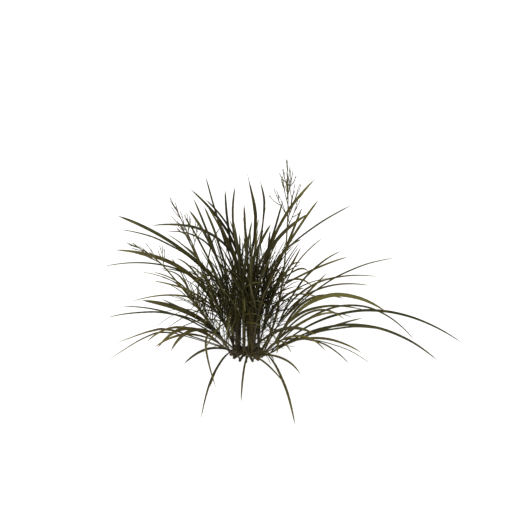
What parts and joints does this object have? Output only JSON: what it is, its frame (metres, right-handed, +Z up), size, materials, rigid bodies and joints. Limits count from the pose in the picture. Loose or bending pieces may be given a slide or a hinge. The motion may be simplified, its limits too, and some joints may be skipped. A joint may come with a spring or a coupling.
{
  "type": "panic grass tussock",
  "caption": "Tussock of arching panic grass cut level with the ground: narrow olive-brown blades and pale airy seed heads on a low woody crown.",
  "frame": {"origin": "middle of the crown's flat underside, on the surface that the tussock stands on", "axes": "+X to the right in the picture, along the tussock's longest spread; +Y away from the camera; +Z up"},
  "size_m": [0.8969, 0.477, 0.493],
  "materials": {
    "leaf_olive": "dry matt leaf",
    "leaf_straw": "dry matt leaf",
    "leaf_dark": "dry matt leaf",
    "leaf_tawny": "dry matt leaf",
    "leaf_brown": "dry matt leaf",
    "panicle": "dry matt straw",
    "crown": "fibrous, matt"
  },
  "bodies": {
    "root": {"crown": "crown", "panicle_culm_left": "panicle", "panicle_culm_nodding": "panicle", "panicle_culm_right": "panicle", "shoot_arch_left": "leaf_olive", "shoot_culm_left": "leaf_dark", "shoot_culm_nodding": "leaf_straw", "shoot_culm_right": "leaf_tawny", "shoot_fill_21": "leaf_olive", "shoot_fill_22": "leaf_straw", "shoot_fill_23": "leaf_dark", "shoot_fill_24": "leaf_tawny", "shoot_fill_25": "leaf_brown", "shoot_fill_26": "leaf_olive", "shoot_fill_27": "leaf_straw", "shoot_fill_28": "leaf_dark", "shoot_fill_29": "leaf_tawny", "shoot_fill_30": "leaf_brown", "shoot_fill_31": "leaf_olive", "shoot_front": "leaf_brown", "shoot_front_left": "leaf_brown", "shoot_front_right": "leaf_tawny", "shoot_left_front": "leaf_tawny", "shoot_left_high": "leaf_olive", "shoot_left_low": "leaf_dark", "shoot_left_middle": "leaf_straw", "shoot_middle_front": "leaf_olive", "shoot_right_far": "leaf_dark", "shoot_right_high": "leaf_straw", "shoot_right_inner": "leaf_brown", "shoot_right_low": "leaf_straw", "shoot_right_middle": "leaf_olive", "shoot_upright_left": "leaf_dark", "shoot_upright_middle": "leaf_tawny", "shoot_upright_right": "leaf_brown"}
  },
  "joints": []
}
